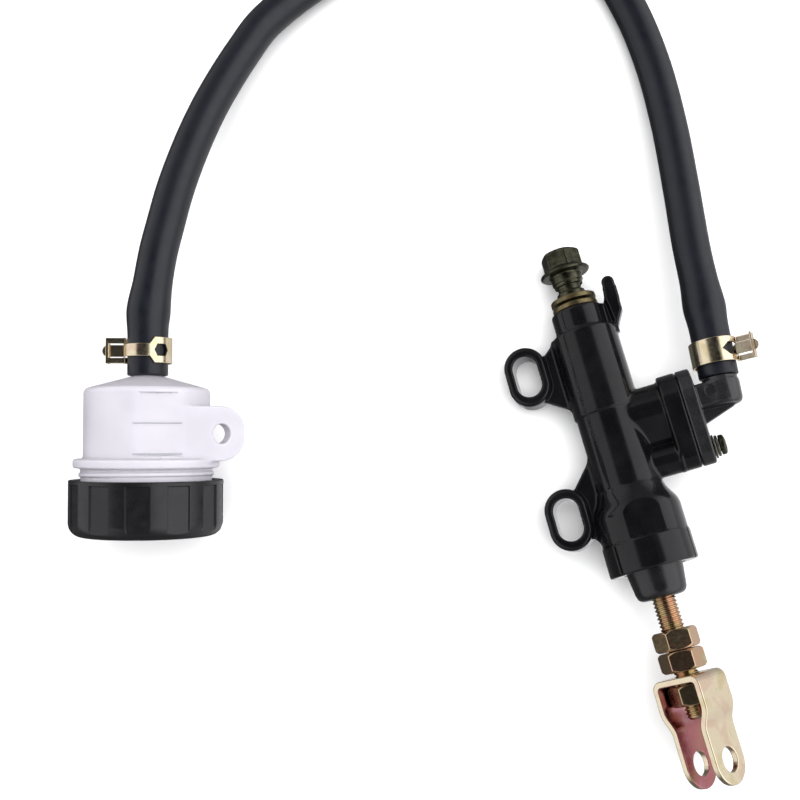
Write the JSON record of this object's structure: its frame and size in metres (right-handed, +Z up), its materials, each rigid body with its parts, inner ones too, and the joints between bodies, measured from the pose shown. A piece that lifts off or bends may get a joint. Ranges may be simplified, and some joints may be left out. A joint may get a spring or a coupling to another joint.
{
  "type": "brake master cylinder",
  "caption": "Motorcycle rear brake master cylinder with slotted lugs, banjo bolt, threaded pushrod and clevis, joined by a hose to a remote translucent reservoir.",
  "frame": {"origin": "centre of the footprint on the bench that the parts lie on, measured without the hose", "axes": "+X from the reservoir to the cylinder, +Y from the clevis end to the banjo bolt end, +Z up from the bench"},
  "size_m": [0.2223, 0.3087, 0.0497],
  "materials": {
    "black_paint": "gloss black paint over a cast housing, faint orange peel",
    "elbow_plastic": "moulded black plastic, semi-gloss",
    "boot_rubber": "smooth glossy black rubber",
    "hose_rubber": "satin black rubber hose",
    "seal_rubber": "plain black rubber",
    "yellow_zinc": "yellow chromate zinc plate with a pink and gold sheen",
    "olive_zinc": "dark olive zinc plate",
    "sealing_brass": "dull brass-coloured sealing washer",
    "plain_steel": "plain steel",
    "bare_aluminium": "bare machined aluminium",
    "milky_plastic": "milky translucent moulded plastic",
    "cap_plastic": "satin black moulded plastic"
  },
  "bodies": {
    "housing": {"cylinder_body": "black_paint", "banjo_bolt": "olive_zinc", "sealing_washer_lower": "sealing_brass", "sealing_washer_upper": "sealing_brass", "inlet_elbow": "elbow_plastic", "inlet_seal": "seal_rubber", "elbow_plain_washer": "plain_steel", "elbow_spring_washer": "plain_steel", "elbow_screw": "olive_zinc", "return_spring": "plain_steel", "circlip": "plain_steel", "dust_boot": "boot_rubber", "reservoir_body": "milky_plastic", "hose_clamp_reservoir": "yellow_zinc", "hose_clamp_elbow": "yellow_zinc", "hose": "hose_rubber"},
    "piston_group": {"piston": "bare_aluminium", "primary_cup": "seal_rubber", "secondary_cup": "seal_rubber"},
    "rod_seat": {"stop_washer": "plain_steel"},
    "pushrod_group": {"pushrod": "yellow_zinc"},
    "clevis_group": {"lock_nut_upper": "yellow_zinc", "lock_nut_lower": "yellow_zinc", "clevis_nut": "yellow_zinc", "clevis": "yellow_zinc"},
    "cap_liner": {"diaphragm_plate": "elbow_plastic", "diaphragm": "seal_rubber"},
    "cap": {"reservoir_cap": "cap_plastic"}
  },
  "joints": [
    {"name": "rod_tilt", "type": "hinge", "parent": "housing", "child": "rod_seat", "pos_m": [0.07137, -0.00311, 0.01609], "axis": [0.6357, 0.2158, 0.7411], "range_deg": [-3, 3]},
    {"name": "pushrod_stroke", "type": "slide", "parent": "rod_seat", "child": "pushrod_group", "axis": [-0.243, 0.9673, -0.0732], "range_m": [0, 0.009], "stiffness_N_per_m": 1200, "springref_m": -0.008},
    {"name": "piston_stroke", "type": "slide", "parent": "housing", "child": "piston_group", "axis": [-0.243, 0.9673, -0.0732], "range_m": [0, 0.009], "deforming": ["return_spring"]},
    {"name": "clevis_turn", "type": "hinge", "parent": "pushrod_group", "child": "clevis_group", "pos_m": [0.08801, -0.06937, 0.0211], "axis": [-0.243, 0.9673, -0.0732], "continuous": true},
    {"name": "cap_turn", "type": "hinge", "parent": "cap_liner", "child": "cap", "pos_m": [-0.087, -0.0106, 0.02335], "axis": [0, -0.9903, -0.1392], "range_deg": [0, 540]},
    {"name": "cap_lift", "type": "slide", "parent": "housing", "child": "cap_liner", "axis": [0, -0.9903, -0.1392], "range_m": [0, 0.00601]}
  ],
  "couplings": [
    {"joint": "piston_stroke", "follows": "pushrod_stroke", "ratio": 1},
    {"joint": "cap_lift", "follows": "cap_turn", "m_per_rad": 0.00063662}
  ]
}
